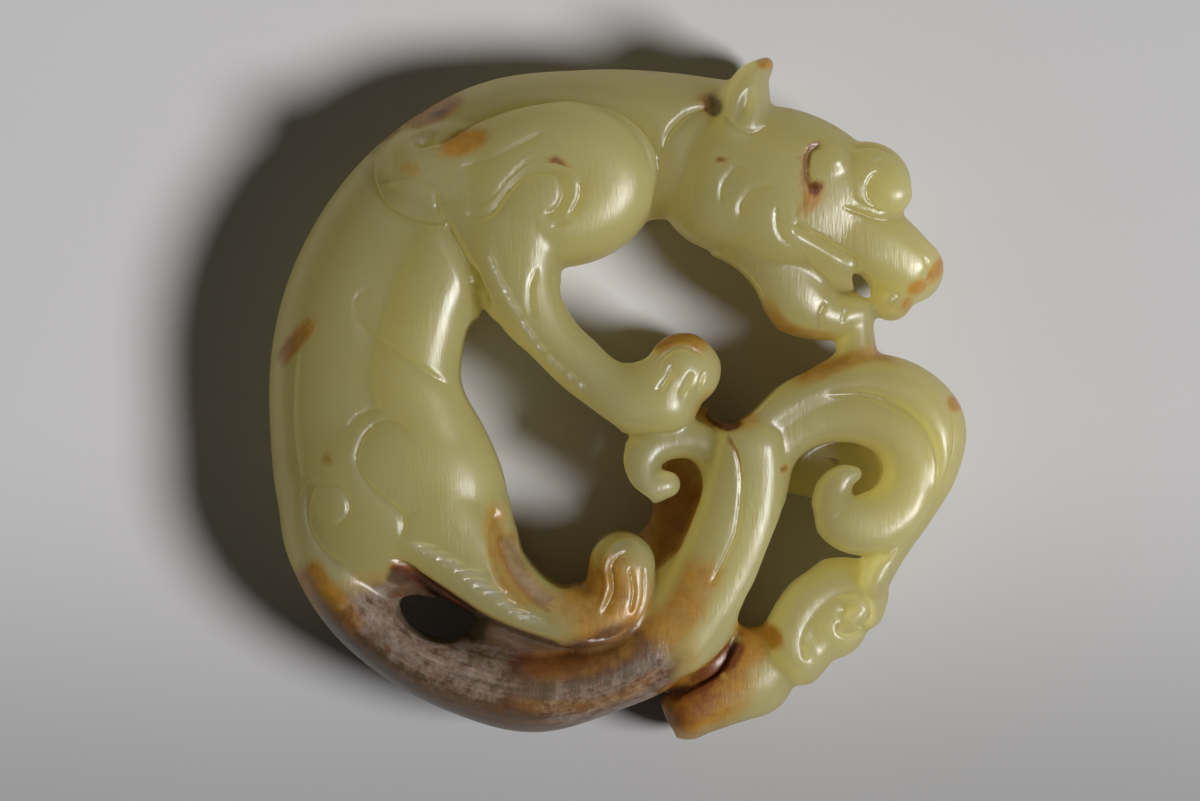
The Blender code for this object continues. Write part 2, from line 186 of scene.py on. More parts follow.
# Tail: the root under the hind leg, then the front layer's hook and scroll, then the rear
# layer's band, outer loop, volute and sawn slab
limb([(-18, -33, 3), (-8, -37, 3)], 8.5)
limb([(-42, -12, 6.4), (-41.4, -20, 6.2), (-37.5, -28.8, 5.4), (-31, -35.3, 5),
      (-22, -39.3, 5.8), (-12, -41.1, 6.6), (-2, -38.9, 6), (5, -34.5, 7), (11.5, -27, 6)],
     10.8, thinning=0, fullness=2.3)
limb([(5, -36.5, 4.4), (9.5, -31.5, 5), (12.4, -24, 3.8), (14.6, -16, 2.9), (14.4, -9.6, 2.7),
      (11, -5.8, 2.7), (5.6, -6.2, 2.8), (2.9, -9, 3.1), (4, -12.2, 2.7), (7, -12, 1.9)], 7.5,
     middle=(2, 6.4), fullness=3)
limb([(6, -36.6, 4.2), (11.6, -32, 4.8), (16.4, -23, 4.2), (19.8, -14.6, 3.8), (21.5, -8, 3.7),
      (24.5, -4.4, 3.7), (29, -2.5, 3.7), (35, -2.7, 3.7), (39.8, -5.5, 3.7),
      (41.5, -10.5, 3.7), (39.8, -15.2, 4.2), (35.5, -17.7, 4.5), (31.6, -16.6, 4.1),
      (30.3, -13.2, 2.6), (32, -11, 1.9), (33.5, -10.5, 1.1)], 7.4, middle=(2.4, 6.6),
     fullness=3.3)
limb([(8.4, -34, 5.4), (13.2, -26, 5.9), (16.8, -17.5, 5.9), (18.2, -10.5, 5.4),
      (18.6, -6.5, 4.6)], 7.7, middle=(2.6, 6.4), fullness=4, thinning=0.05)
limb([(8.7, -28, 6), (8.7, -20, 5.2), (9.6, -11, 4.6), (13, -5.5, 4), (19, -3.5, 4.8)],
     7.6, middle=-6.6)
limb([(19, -4, 5), (25.5, 0, 4.4), (33, 2.4, 4.3), (40, 1.3, 4.6), (44.3, -3.4, 5.2),
      (44.4, -9.5, 4.2), (41.9, -15.3, 3.4), (38.6, -21.2, 2.7), (36.2, -26, 2.4)],
     12.6, middle=-0.9, thinning=0.15, fullness=2.4)
limb([(23, -8.5, 4.5), (31, -9.6, 5), (39, -10, 4.5)], 7.2, middle=-7)
limb([(26.8, -37.6, 3), (24.6, -34.5, 3.8), (26.4, -29.8, 4), (30.5, -26.8, 3.9),
      (34.7, -27.2, 3.9), (35, -30, 3.2)], 10, middle=-3.5)
lobe(30.3, -32, 5.5, 5.4, 9.2, middle=-4)
limb([(29.5, -33.5, 3.5), (26.3, -38, 3.2)], 9.3, middle=-4.5)
limb([(10, -44.9, 4.2), (14.5, -41.5, 6), (19, -38.5, 7.2), (23, -35.5, 5)], 8.6,
     middle=-5.5, thinning=0.1)

for thing in bpy.context.selected_objects:
    thing.select_set(False)
for piece in rough:
    piece.select_set(True)
stone = rough[0]
bpy.context.view_layer.objects.active = stone
bpy.ops.object.join()
stone.name = "jade_beast"


def work(kind, **settings):
    """Apply one modifier to the stone."""
    step = stone.modifiers.new(kind, kind)
    for name, value in settings.items():
        setattr(step, name, value)
    bpy.ops.object.modifier_apply(modifier=step.name)


work("REMESH", mode="VOXEL", voxel_size=GRAIN)
work("SMOOTH", factor=0.5, iterations=40)


# The openings: five gaps sawn and drilled right through, and the straight end of the slab.
# Each is an outline on the grid, cut as a prism.
SLANT = math.radians(-27)
HOLE_CENTRE = (-26.6, -31.2)
HOLE_REACH = (5.17, 2.83)
HOLE_CORNERS = 16
SAW_REACH = 20
hole = []
for step in range(HOLE_CORNERS):
    turn = 2 * math.pi * step / HOLE_CORNERS
    along = HOLE_REACH[0] * math.cos(turn)
    aside = HOLE_REACH[1] * math.sin(turn)
    hole.append((HOLE_CENTRE[0] + along * math.cos(SLANT) - aside * math.sin(SLANT),
                 HOLE_CENTRE[1] + along * math.sin(SLANT) + aside * math.cos(SLANT)))
openings = {
    "below the head": [
        (-8.3, 15.5), (-7.6, 18), (-4, 19.5), (0, 21), (3, 23), (5.5, 23.8), (11, 21.5),
        (16, 19.7), (19.5, 16.5), (21.6, 12), (24.5, 8.8), (30.3, 8.3), (31, 6.6), (27.6, 4.4),
        (23.2, 2), (19, -2), (15.8, -3.4), (12.8, -2), (14.2, 2), (14.6, 4.8), (13.4, 7.2),
        (11, 9.2), (8.5, 9.7), (6, 8.4), (4, 6), (1.5, 5.2), (-0.8, 5.9), (-3.5, 8.6),
        (-6.8, 12.4)],
    "in the belly": [
        (-22.4, 2), (-22.2, 7.5), (-21, 11), (-19, 11.9), (-17, 11), (-15, 8.6), (-12.6, 6.6),
        (-8, 2), (-3, -1.8), (0.8, -5), (0.8, -9), (2, -12), (5, -14.8), (4.2, -18.3),
        (2.4, -18.6), (0, -17.8), (-2.6, -18.2), (-4.4, -19.6), (-4.8, -22.5), (-5.4, -25.6),
        (-7, -26.8), (-9.2, -26.3), (-11.6, -24.4), (-13.7, -21.6), (-14.6, -18), (-15.6, -14),
        (-17, -9), (-19.2, -4)],
    "in the tail": [
        (16.9, -31.5), (17.7, -28.6), (19.2, -25.6), (20.6, -22), (22.4, -17.5), (24, -14.4),
        (27.4, -15), (28.4, -19.4), (30, -22), (28, -24.4), (25, -26.6), (22.8, -29.6),
        (21, -32.6), (18.6, -33)],
    "cord hole": hole,
    "mouth": [(33.2, 18), (35, 18.2), (36.2, 16.4), (35.6, 15), (34.2, 15.2), (33.2, 16.6)],
    "slab end": [(5.6, -42.9), (7, -46), (8.3, -48.6), (8.6, -53), (4, -53), (3.5, -47),
                 (4.4, -43.8)],
}
form = bmesh.new()
for outline in openings.values():
    edge = [form.verts.new((x * ACROSS, y * ACROSS, -SAW_REACH * DEEP))
            for x, y in smooth_path(outline, closed=True)]
    form.faces.new(edge)
sides = bmesh.ops.extrude_face_region(form, geom=form.faces[:])
raised = [part for part in sides["geom"] if isinstance(part, bmesh.types.BMVert)]
bmesh.ops.translate(form, verts=raised, vec=(0, 0, 2 * SAW_REACH * DEEP))
bmesh.ops.recalc_face_normals(form, faces=form.faces[:])
saws = as_object(form, "saws")
work("BOOLEAN", operation="DIFFERENCE", object=saws, solver="MANIFOLD")
bpy.data.objects.remove(saws)
work("REMESH", mode="VOXEL", voxel_size=GRAIN)
work("SMOOTH", factor=0.5, iterations=4)


# The carving: lines, hollows and low swellings ground into both faces with small wheels.
# A line is a path on the grid, a depth, and how far it slopes up to its left and right.
def measured(kind):
    """A row of three numbers for each vertex of the stone: its place or its normal."""
    rows = np.empty(len(stone.data.vertices) * 3)
    stone.data.vertices.foreach_get(kind, rows)
    return rows.reshape(-1, 3)


def placed(rows):
    """Move the vertices of the stone to new places."""
    stone.data.vertices.foreach_set("co", rows.reshape(-1))
    stone.data.update()


corners = measured("co")
facing = measured("normal")
spots = corners[:, :2] / ACROSS
heights = corners[:, 2] / DEEP
sunk = np.zeros(len(corners))
swollen = np.zeros(len(corners))
BOTH = (1, -1)
FRONT = (1,)
OPENNESS = 2.5
TAPER = 0.7


def beside(path, reach, places):
    """Places within reach of a path: their numbers, signed distance and share along it."""
    near = np.all((places > path.min(axis=0) - reach) & (places < path.max(axis=0) + reach),
                  axis=1)
    chosen = np.nonzero(near)[0]
    nearby = places[chosen]
    closest = np.full(len(chosen), np.inf)
    signed = np.zeros(len(chosen))
    share = np.zeros(len(chosen))
    for number, (start, end) in enumerate(zip(path, path[1:])):
        stretch = end - start
        along = np.clip((nearby - start) @ stretch / (stretch @ stretch), 0, 1)
        offset = nearby - start - along[:, None] * stretch
        away = np.hypot(offset[:, 0], offset[:, 1])
        left = np.sign(stretch[0] * offset[:, 1] - stretch[1] * offset[:, 0])
        closer = away < closest
        closest[closer] = away[closer]
        signed[closer] = (away * left)[closer]
        share[closer] = ((number + along) / (len(path) - 1))[closer]
    return chosen, signed, share


def oval(x, y, half_length, half_width, turn):
    """Where each vertex lies along and across an oval, both 1 at the rim."""
    turn = math.radians(turn)
    offset = spots - (x, y)
    along = (offset[:, 0] * math.cos(turn) + offset[:, 1] * math.sin(turn)) / half_length
    aside = (offset[:, 1] * math.cos(turn) - offset[:, 0] * math.sin(turn)) / half_width
    return along, aside


def reached(chosen, face, above):
    """How well a wheel reaches places on a face: less on slopes, not at all below a height."""
    open_side = np.clip(facing[chosen, 2] * face * OPENNESS, 0, 1)
    return open_side * (heights[chosen] * face > above)


def line(points, depth, left, right, faces=BOTH, above=3.0, fade=0.15, steps=PATH_STEPS):
    """Grind a line: full depth on the path, sloping back up over `left` and `right`.

    A depth below nothing leaves a raised thread instead."""
    path = smooth_path(points, steps=steps)
    chosen, signed, share = beside(path, max(left, right), spots)
    wall = np.clip(np.abs(signed) / np.where(signed > 0, left, right), 0, 1)
    ends = np.clip(np.minimum(share, 1 - share) / fade, 0, 1)
    sharp = (1 - wall) ** 2 if depth > 0 else (1 - wall**2) ** 2
    cut = abs(depth) * sharp * ends ** TAPER
    layer = sunk if depth > 0 else swollen
    for face in faces:
        layer[chosen] = np.maximum(layer[chosen], cut * reached(chosen, face, above))


def hollow(x, y, half_length, half_width, depth, turn=0.0, faces=BOTH, above=3.0):
    """Grind a shallow oval dish, or with a depth below nothing leave a low oval swelling."""
    along, aside = oval(x, y, half_length, half_width, turn)
    cut = depth * np.clip(1 - along**2 - aside**2, 0, 1) ** 2
    layer = sunk if depth > 0 else swollen
    everywhere = slice(None)
    for face in faces:
        layer += np.abs(cut) * reached(everywhere, face, above)


LEAN_SPREAD = 5
STROKE_BOW = 0.15
fur = []


def hairs(points, count, length, angle, depth=0.3, width=0.42):
    """A row of short strokes along a path, near one angle, the way fur is scratched in."""
    path = smooth_path(points)
    for number in range(count):
        x, y = path[round(number * (len(path) - 1) / (count - 1))]
        reach = length * (0.8 + 0.2 * math.cos(number * 2.4))
        lean = math.radians(angle + LEAN_SPREAD * math.sin(number * 1.7))
        tip = (x + reach * math.cos(lean), y + reach * math.sin(lean))
        stroke = [(x, y), ((x + tip[0]) / 2, (y + tip[1]) / 2 + STROKE_BOW), tip]
        line(stroke, depth, width, width, fade=0.4, steps=2)
        fur.append(stroke)


# Shoulder: its edge from the pit at the upper left round to the throat, then its curls
line([(-27.3, 36.6), (-25, 36.6), (-23, 37.8), (-20.2, 39.6), (-17.4, 40.9), (-13.7, 42),
      (-7.5, 43), (-3.8, 42.5), (-0.4, 41.5), (2.4, 39.5), (4.1, 37.5), (5.2, 35.3),
      (5.6, 33), (5.7, 30.2), (5.2, 27.6), (3.8, 25)], 1.5, 3.4, 0.8, fade=0.06)
hollow(-27.3, 36.9, 2.4, 1.5, 2.4, turn=20)
line([(-22, 33), (-18, 34), (-14, 36), (-10, 38)], 0.45, 0.7, 1.5)
line([(-21.3, 26.2), (-19.5, 25.7), (-17.6, 26.5), (-15.9, 28.8), (-14.2, 30.7),
      (-12.3, 31.9), (-10.3, 32), (-8.6, 31.6), (-7.9, 30.2), (-7.9, 28.5), (-8.9, 26.8),
      (-10.3, 26.2)], 0.75, 1.7, 0.8, fade=0.08)
line([(-20, 27.2), (-17.5, 28.6), (-15.5, 31), (-13, 33.3), (-10.5, 34)], 0.35, 0.8, 0.7)
line([(-5.4, 30.7), (-5.5, 28.5), (-6.9, 25.9)], 0.5, 1.1, 0.6)
line([(-9.4, 24.4), (-7, 25)], 0.4, 0.6, 0.6, fade=0.3)
# Wing plate
line([(-27.5, 38.6), (-31, 39.3), (-34, 36.5), (-35, 33), (-33.6, 28.8), (-30.5, 26.2),
      (-26, 25), (-23.5, 25.4)], 0.95, 0.7, 2.2, fade=0.06)
line([(-34, 30.6), (-31, 31.1), (-28, 31), (-26, 30)], 0.45, 0.6, 1.1)
line([(-25.3, 29.6), (-25.5, 27.5), (-24.8, 25.8)], 0.5, 0.6, 0.9, fade=0.2)
# Between belly and fore leg
line([(-24.4, 25.8), (-21.8, 20.8), (-19.6, 16.1), (-18.2, 12.7)], 1.9, 1.1, 2.8, fade=0.1)
hairs([(-18.4, 20.6), (-17, 17.4), (-15, 13.6)], 9, 2.6, -52, depth=0.55)
hairs([(-13.6, 11.4), (-10, 6.4), (-5.4, 2.6)], 11, 1.9, -60, depth=0.45)
line([(-11.2, 18.6), (-12.2, 16.2), (-12.3, 13.4), (-11.6, 11.6)], 0.4, 0.6, 1)
line([(-8.7, 18.4), (-9.2, 16.6), (-8.7, 14.6)], 0.35, 0.5, 0.8)
# Fore paw: three toes and a dew claw
line([(7.9, 5.1), (7, 3), (5.4, 1)], 0.8, 0.7, 0.9, fade=0.25)
line([(10.4, 3.9), (9.6, 2.4), (8.8, 0.4)], 0.75, 0.6, 0.8, fade=0.25)
line([(12.2, 4.2), (11.6, 2.4), (11, 0.6)], 0.5, 0.5, 0.6, fade=0.3)
line([(5.4, 4.4), (6.2, 6.2), (8, 7.4), (10.4, 7.3), (12.2, 6)], 0.5, 0.5, 0.9)
# Back of the head
line([(13.4, 41.6), (10.1, 40.7), (8.1, 38.9), (6.9, 37.2), (6.4, 35.2), (6, 32), (5.8, 28.6),
      (5.6, 25)], 1.1, 0.6, 1.1, fade=0.08)
# Ear hollow
hollow(17.9, 41.6, 3.2, 1.5, 1.2, turn=72)
line([(14.6, 40.6), (16.6, 38.4), (19, 37.7), (21.3, 39)], 0.45, 0.8, 0.5)
# Cheek curls
line([(18, 33.1), (16, 32.2), (14.8, 30.5), (14.5, 28.7), (14.8, 27.3)], 0.45, 0.5, 1.2)
line([(21.5, 29.9), (19.2, 29.6), (17.7, 28.4), (17.1, 27), (17.4, 25.5)], 0.45, 0.5, 1.2)
# Brow curl and the lids round the eye
line([(28.6, 36.2), (27, 35.2), (26.6, 33.6), (26.8, 31.4), (28, 30)], 0.7, 0.6, 0.9)
line([(32.6, 35.6), (36, 36), (39.4, 34.4), (41.6, 31)], 0.45, 0.5, 0.7)
line([(41.4, 31.4), (39.6, 33.6), (36.8, 34), (35, 32.6)], 0.3, 0.4, 0.4)
line([(31.5, 27.3), (34.4, 26.2), (37.4, 25.4), (40.8, 25.8)], 0.4, 0.5, 0.6)
line([(33, 28.2), (35.2, 27.2), (37.6, 26.5), (40.4, 27)], 0.3, 0.4, 0.4)
line([(36.6, 32.4), (35.1, 30.8), (35, 28.6), (36.4, 27)], 0.5, 0.8, 0.5)
# Mouth, its corner curl, the nostril and the jaw
line([(25, 24.9), (27, 23.5), (29.1, 22.3), (32, 20.6), (34.2, 18.8)], 1.5, 0.7, 1.5,
     fade=0.12)
line([(22.3, 27.2), (22.2, 25), (23, 22.8), (24.8, 21.8)], 0.45, 0.45, 0.7)
hollow(24.3, 23.8, 1.5, 1.1, -0.5, turn=-60)
line([(25.4, 21.6), (27.4, 18.8), (30.6, 16.6)], 0.35, 0.6, 0.8)
hollow(38.4, 14.4, 1.2, 1, -0.8, above=2.0)
line([(36.4, 15.6), (37.4, 12.9), (39.4, 12.6)], 0.5, 0.5, 0.5, above=2.0)
line([(43.2, 15.6), (43.8, 18), (43, 20.4)], 0.4, 0.5, 0.8)
line([(29.4, 13.9), (28.5, 11.8), (28.5, 9.8)], 0.5, 0.5, 0.9)
line([(32.2, 13), (31.6, 10.8)], 0.4, 0.5, 0.6, fade=0.3)
# Flank curl
line([(-34.2, 15.3), (-36, 15.2), (-37, 13.8), (-36.4, 12.2), (-34.8, 12)], 0.3, 0.5, 0.8)
# Spine ridge along the left edge
line([(-45.2, 8), (-46, 1), (-45.8, -6), (-44.8, -12)], 0.35, 1.8, 1.8)
# Thigh: its upper edge and its two curls
line([(-22.4, 1.4), (-26, 3.5), (-30, 6.2), (-35, 9.5), (-37.5, 12)], 0.5, 2.8, 0.8,
     fade=0.3)
line([(-29.6, -4.6), (-31, -3.2), (-32.8, -3), (-35.1, -4.2), (-36.5, -7), (-36.5, -9.3),
      (-34.7, -12.1), (-33.2, -13.4), (-31.2, -15.2), (-30, -17.1), (-30.4, -19.5)],
     0.6, 0.55, 1.3, fade=0.06)
line([(-38.4, -4.4), (-36.7, -2.3), (-33.2, -0.7)], 0.3, 0.6, 1)
line([(-38.6, -23.4), (-41.4, -21.5), (-43.3, -18.7), (-43.9, -16), (-43.4, -13.2),
      (-42.2, -12), (-39.4, -12.2), (-38, -14.4), (-38.3, -16.8), (-40.2, -18.2)],
     0.65, 1.3, 0.6, fade=0.06)
line([(-45.4, -14.4), (-44.2, -11.6), (-41.8, -10.4), (-38.8, -10.8)], 0.25, 0.6, 0.8)
# Hind leg: its lower edge, calf, fur and paw
line([(-32.6, -22.2), (-29.4, -23.6), (-26.5, -25.8), (-21, -29.7), (-16.7, -32.4),
      (-10.8, -34.8), (-6.9, -35.6), (-2.2, -35.2), (0.9, -33.6), (4.1, -30.1),
      (5.4, -26.4)], 0.9, 0.6, 1.2, above=1.0, fade=0.05)
line([(-17.3, -15.8), (-18.1, -20.3), (-17.1, -24.6), (-15.1, -27.7), (-12.4, -30.1),
      (-9.4, -31.6)], 0.8, 1.8, 0.5, fade=0.1)
hairs([(-29.6, -20.4), (-25, -22.8), (-19.6, -26.8), (-14, -30.8)], 12, 5, -8,
      depth=0.9, width=0.6)
line([(-3, -30.1), (-1.6, -26.6), (-1.8, -23.4), (-0.6, -20.9), (1.7, -20.1), (3.6, -21.2)],
     -0.5, 0.5, 0.5)
line([(-2.2, -30.4), (-0.7, -26.8), (-0.9, -23.4), (0.2, -21.8), (1.7, -21.2)], 0.7, 0.5, 0.8)
line([(1.6, -23.6), (2.2, -26.8), (1.8, -30.1)], 0.7, 0.6, 0.5)
line([(3.6, -23.6), (3.8, -28), (2.1, -31.8), (-1, -33.8), (-5, -34)], 0.6, 0.5, 0.6,
     fade=0.1)
# Tail, front layer: the split between hook and scroll, and the scroll's own edge
line([(15.3, -4.9), (16.8, -8.2), (17.3, -11.8), (16.8, -16.9), (16.1, -19.9), (13.1, -26.1)],
     0.5, 0.6, 0.6, faces=FRONT, fade=0.05)
line([(29.2, 0.7), (35, 0.4), (38.7, -0.9), (42.3, -3.5), (44.5, -7.1), (45.2, -10.7),
      (44.7, -14.8), (42.7, -18.4), (39.4, -21.3), (35.8, -22), (32.5, -21.5)],
     0.9, 1.8, 0.6, faces=FRONT, fade=0.08)
line([(29, -18.5), (33, -14.5)], 0.2, 0.3, 0.3, faces=FRONT, fade=0.4, steps=3)
line([(28.4, -18.8), (32, -15.2)], 0.2, 0.3, 0.3, faces=FRONT, fade=0.4, steps=3)
line([(46.6, 0.4), (47.6, -4.6), (46.6, -10.4), (43.4, -17.2), (39.2, -24)], 0.5, 0.8, 0.8,
     faces=FRONT, above=-2.0, fade=0.1)
# Tail, rear layer: the cut beside the slab and the turns of the volute
line([(17.5, -32.6), (14.6, -38.5), (10.6, -41), (7, -42.8)], 1.5, 0.7, 2, faces=FRONT,
     above=-8.0)
line([(26.4, -37), (26.8, -33.4), (28.8, -30.4), (31.4, -28.4), (34, -28), (35.8, -29.4),
      (36, -31.6), (34.4, -33.4), (32, -33.4), (31, -32)], 1.3, 0.8, 1.3, faces=FRONT,
     above=-8.0, fade=0.06)
hollow(33.4, -31.2, 1.8, 1.7, -1.1, faces=FRONT, above=-8.0)

corners -= facing * ((sunk - swollen) * DEEP)[:, None]
placed(corners)


# The finish: the faces are thinned where the stone is smooth, the back is worn to the plane
# it lies on, and the stone is set in its place and fitted to the box of the solid.
MOST_TRIANGLES = 190000
stone.data.calc_loop_triangles()
work("DECIMATE", ratio=MOST_TRIANGLES / len(stone.data.loop_triangles))
mesh = stone.data
corners = measured("co")
corners[:, 2] = np.maximum(corners[:, 2], GRID_MIDDLE[2] * DEEP)
spots = corners[:, :2] / ACROSS
heights = corners[:, 2] / DEEP
corners -= np.array(GRID_MIDDLE) * (ACROSS, ACROSS, DEEP)
fitted = (np.array(high) - np.array(low)) / np.ptp(corners, axis=0)
corners = np.array(low) + (corners - corners.min(axis=0)) * fitted
placed(corners)
mesh.shade_smooth()
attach(stone, "root")
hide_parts("carved_beast")


# The stains: iron and burial have coloured the stone's skin and its cracks. Each stain is an oval
# or a streak on the grid, which the material breaks up further. The same layers also carry
# painted light: the pale fur strokes are a painted highlight, and the dark streak in the cut
# beside the slab is partly painted shade.
stains_and_painted_light = {name: np.zeros(len(corners)) for name in ("ochre", "russet", "chalk", "haze", "pale")}
FIRMNESS = 1.5
SOFT_EDGE = 3


def eased(share):
    """Let a share from 0 to 1 start and end gently."""
    return share * share * (3.0 - share * 2.0)


def between(levels, lowest, highest):
    """1 between two heights, falling to 0 over a soft edge before each."""
    return np.clip(np.minimum(levels - lowest, highest - levels) / SOFT_EDGE, 0, 1)


def blot(name, x, y, half_length, half_width, turn=0.0, strength=1.0, lowest=-99.0,
         highest=99.0):
    """An oval stain, strongest in its middle, between two heights."""
    along, aside = oval(x, y, half_length, half_width, turn)
    inside = eased(np.clip(FIRMNESS * (1 - np.hypot(along, aside)), 0, 1)) * strength
    inside *= between(heights, lowest, highest)
    stains_and_painted_light[name] = np.maximum(stains_and_painted_light[name], inside)


def streak(name, points, half_width, strength=1.0, lowest=-99.0, highest=99.0, fade=0.15):
    """A stain along a path, strongest on it, between two heights. The fur's painted highlight and
    the painted shade beside the slab are laid with it too.
    """
    chosen, signed, share = beside(smooth_path(points), half_width, spots)
    inside = np.clip(FIRMNESS * (1 - np.abs(signed) / half_width), 0, 1)
    ends = np.clip(np.minimum(share, 1 - share) / fade, 0, 1)
    inside = eased(inside) * strength * ends
    inside *= between(heights[chosen], lowest, highest)
    stains_and_painted_light[name][chosen] = np.maximum(stains_and_painted_light[name][chosen], inside)


# Ear, nape, brow, nose and jaw
blot("ochre", 21.2, 48.3, 2.6, 1.8, 20)
blot("russet", 13.3, 41.9, 2, 2.4, 30)
streak("russet", [(29, 36.2), (27.2, 35.6), (26.4, 34), (26.3, 31.6), (27, 29.8)], 0.9, 0.8)
blot("russet", 27.6, 29.9, 1.7, 1.3)
blot("ochre", 27.2, 28.6, 1.8, 2.2)
blot("ochre", 45, 18.4, 3, 1.3, 55)
blot("ochre", 42.3, 16, 2.2, 1.3, 30, 0.8)
blot("ochre", 40.8, 13.6, 1.6, 1, 60, 0.6)
streak("ochre", [(20.4, 15), (23, 10.6), (27, 8.9), (31, 8.6)], 1.6, 0.45)
# Shoulder and back
blot("ochre", -21.6, 36.4, 4.6, 2.4, 20)
blot("ochre", -29.2, 32.7, 2, 1.6, 0, 0.35)
blot("ochre", -32.4, 38.4, 2.6, 1.5, 45, lowest=0.0)
blot("ochre", -26, 41.2, 5.6, 2.4, 25, lowest=-1.0)
blot("russet", -25.4, 40.8, 2.2, 0.8, 20, 0.35, lowest=0.0)
streak("ochre", [(-48, 5.4), (-45.6, 8.2), (-42.6, 11.4)], 1.5, 0.9, lowest=-1.0)
blot("ochre", -41, -8.5, 1.2, 1, 0, 0.5, lowest=0.0)
streak("ochre", [(-44.4, -23), (-42.6, -26.5), (-39, -30.6), (-36, -33)], 3, 1, lowest=-5.0)
# Fore paw and tail
streak("ochre", [(4.6, 7), (7, 9), (10, 9), (13, 7)], 2.2, 0.7)
streak("russet", [(12.4, -1.4), (14, -3), (15.5, -3.8), (17.8, -3)], 0.9)
streak("ochre", [(11, 0), (15.6, -2.6), (20, -1.6)], 2.6, 0.5)
streak("ochre", [(24, 2), (30, 4.6), (36, 6.6), (40, 6)], 1.6, 0.5)
blot("ochre", 47.6, -0.5, 1.6, 1.6)
blot("ochre", 8.6, -17, 8, 12, 0, 0.9, highest=3.5)
streak("russet", [(15.3, -4.9), (16.8, -8.2), (17.3, -11.8)], 0.5, 0.6)
# Hind leg and paw
streak("ochre", [(-17, -14), (-17.4, -20), (-15.6, -26), (-11, -30)], 2, 0.45)
blot("ochre", -2, -28, 9, 8, 20, 0.75)
streak("chalk", [(-16.4, -17), (-15, -22.6), (-11.6, -27.4), (-7.4, -29.6)], 2.6, 0.7)
streak("haze", [(-16, -17), (-14.6, -22.6), (-11.4, -26.6), (-7, -28.6)], 2.2, 1)
# Tail root
ROOT = [(-40, -22), (-37.4, -28.8), (-31, -35.3), (-22, -39.6), (-12, -41.6), (-2, -39.4),
        (5, -35), (11, -28)]
streak("chalk", ROOT, 11, 1, fade=0.2)
streak("chalk", [(-34, -24), (-26, -28), (-17, -33.4), (-6, -37)], 3.4, 1, fade=0.1)
streak("haze", [(-36.6, -24.6), (-34.4, -29), (-29, -34.6), (-21, -38), (-12, -40)], 6.4, 0.9)
blot("haze", -34.4, -26.6, 5, 4, -50)
blot("haze", 4.4, -12.2, 4.6, 3.4, 20, 0.7)
streak("haze", [(-14, -42.4), (-6, -43.4), (4, -40.6), (9, -36), (12, -32)], 5, 0.75)
streak("ochre", [(-14, -37.4), (-8, -37.6), (-1, -36), (4, -31)], 3, 0.7)
streak("russet", [(-15, -37), (-9, -37.4), (-3, -36.4)], 2, 0.8)
streak("ochre", [(-17, -42.6), (-8, -43.6), (0, -42.4), (7, -38)], 1.4, 0.45)
streak("russet", [(-32, -22.6), (-26.5, -26.2), (-20.6, -30.6)], 1.5, 0.8)
# Slab and volute
blot("ochre", 11.4, -42, 11, 8, 35, 1, highest=7.0)
blot("ochre", 19, -36, 4, 3, 50, 0.9, highest=7.0)
blot("russet", 11, -43.4, 8, 4.4, 35, 0.45, highest=6.0)
# Dark russet along the cut beside the slab: partly an iron stain in the cut, partly painted shade
# where the tail passes over the slab.
streak("russet", [(17.4, -32.8), (14.8, -38.3), (10.8, -40.8), (6.6, -42.8)], 2.4, 0.9,
       highest=6.0)
streak("ochre", [(17, -31), (19, -33.6), (21.6, -33.4), (22.4, -36)], 1.8, 0.9)
blot("ochre", 31.6, -38.8, 2.2, 0.9, 25, 0.6)
streak("ochre", [(3, -35), (9, -30), (13, -22)], 4, 0.55)
# Pores and specks, and the fur strokes painted pale as a painted highlight
for x, y, size in ((14, 34, 0.6), (19.6, 31.9, 0.4), (31, -8.7, 0.5), (-33.5, -4.8, 0.5),
                   (-8.6, 33.6, 0.4), (23.4, -9.8, 0.9), (21.9, -12.6, 0.7), (19.4, -18, 0.6)):
    blot("russet", x, y, size, size * 0.8)
# Painted highlight: the fur strokes are painted pale, as if they catch the light.
for stroke in fur:
    streak("pale", stroke, 0.7, fade=0.3)

# How far along and beside the tail's root each point lies, for streaks that follow it
ROOT_REACH = 14
ROOT_LENGTH = 6
flow = np.zeros((len(corners), 3), np.float32)
chosen, signed, share = beside(smooth_path(ROOT), ROOT_REACH, spots)
flow[chosen, 0] = share * ROOT_LENGTH
flow[chosen, 1] = signed
flow[:, 2] = heights
grain = mesh.attributes.new("flow", "FLOAT_VECTOR", "POINT")
grain.data.foreach_set("vector", flow.reshape(-1))
for name, amount in stains_and_painted_light.items():
    layer = mesh.attributes.new(name, "FLOAT", "POINT")
    layer.data.foreach_set("value", amount.astype(np.float32))


class Wire:
    """A shader socket that takes part in sums, so that masks read as formulas."""

    def __init__(self, tree, socket):
        self.tree = tree
        self.socket = socket

    def _math(self, operation, first, second, clamp=False):
        node = self.tree.nodes.new("ShaderNodeMath")
        node.operation = operation
        node.use_clamp = clamp
        for place, value in zip(node.inputs, (first, second)):
            if isinstance(value, Wire):
                self.tree.links.new(value.socket, place)
            else:
                place.default_value = value
        return Wire(self.tree, node.outputs[0])

    def __add__(self, other):
        return self._math("ADD", self, other)

    def __sub__(self, other):
        return self._math("SUBTRACT", self, other)

    def __rsub__(self, other):
        return self._math("SUBTRACT", other, self)

    def __mul__(self, other):
        return self._math("MULTIPLY", self, other)

    def held(self):
        """Keep a value between 0 and 1."""
        return self._math("ADD", self, 0.0, clamp=True)

    def around(self, contrast):
        """Let a noise swing to both sides of nothing."""
        return (self - 0.5) * contrast

    __radd__ = __add__


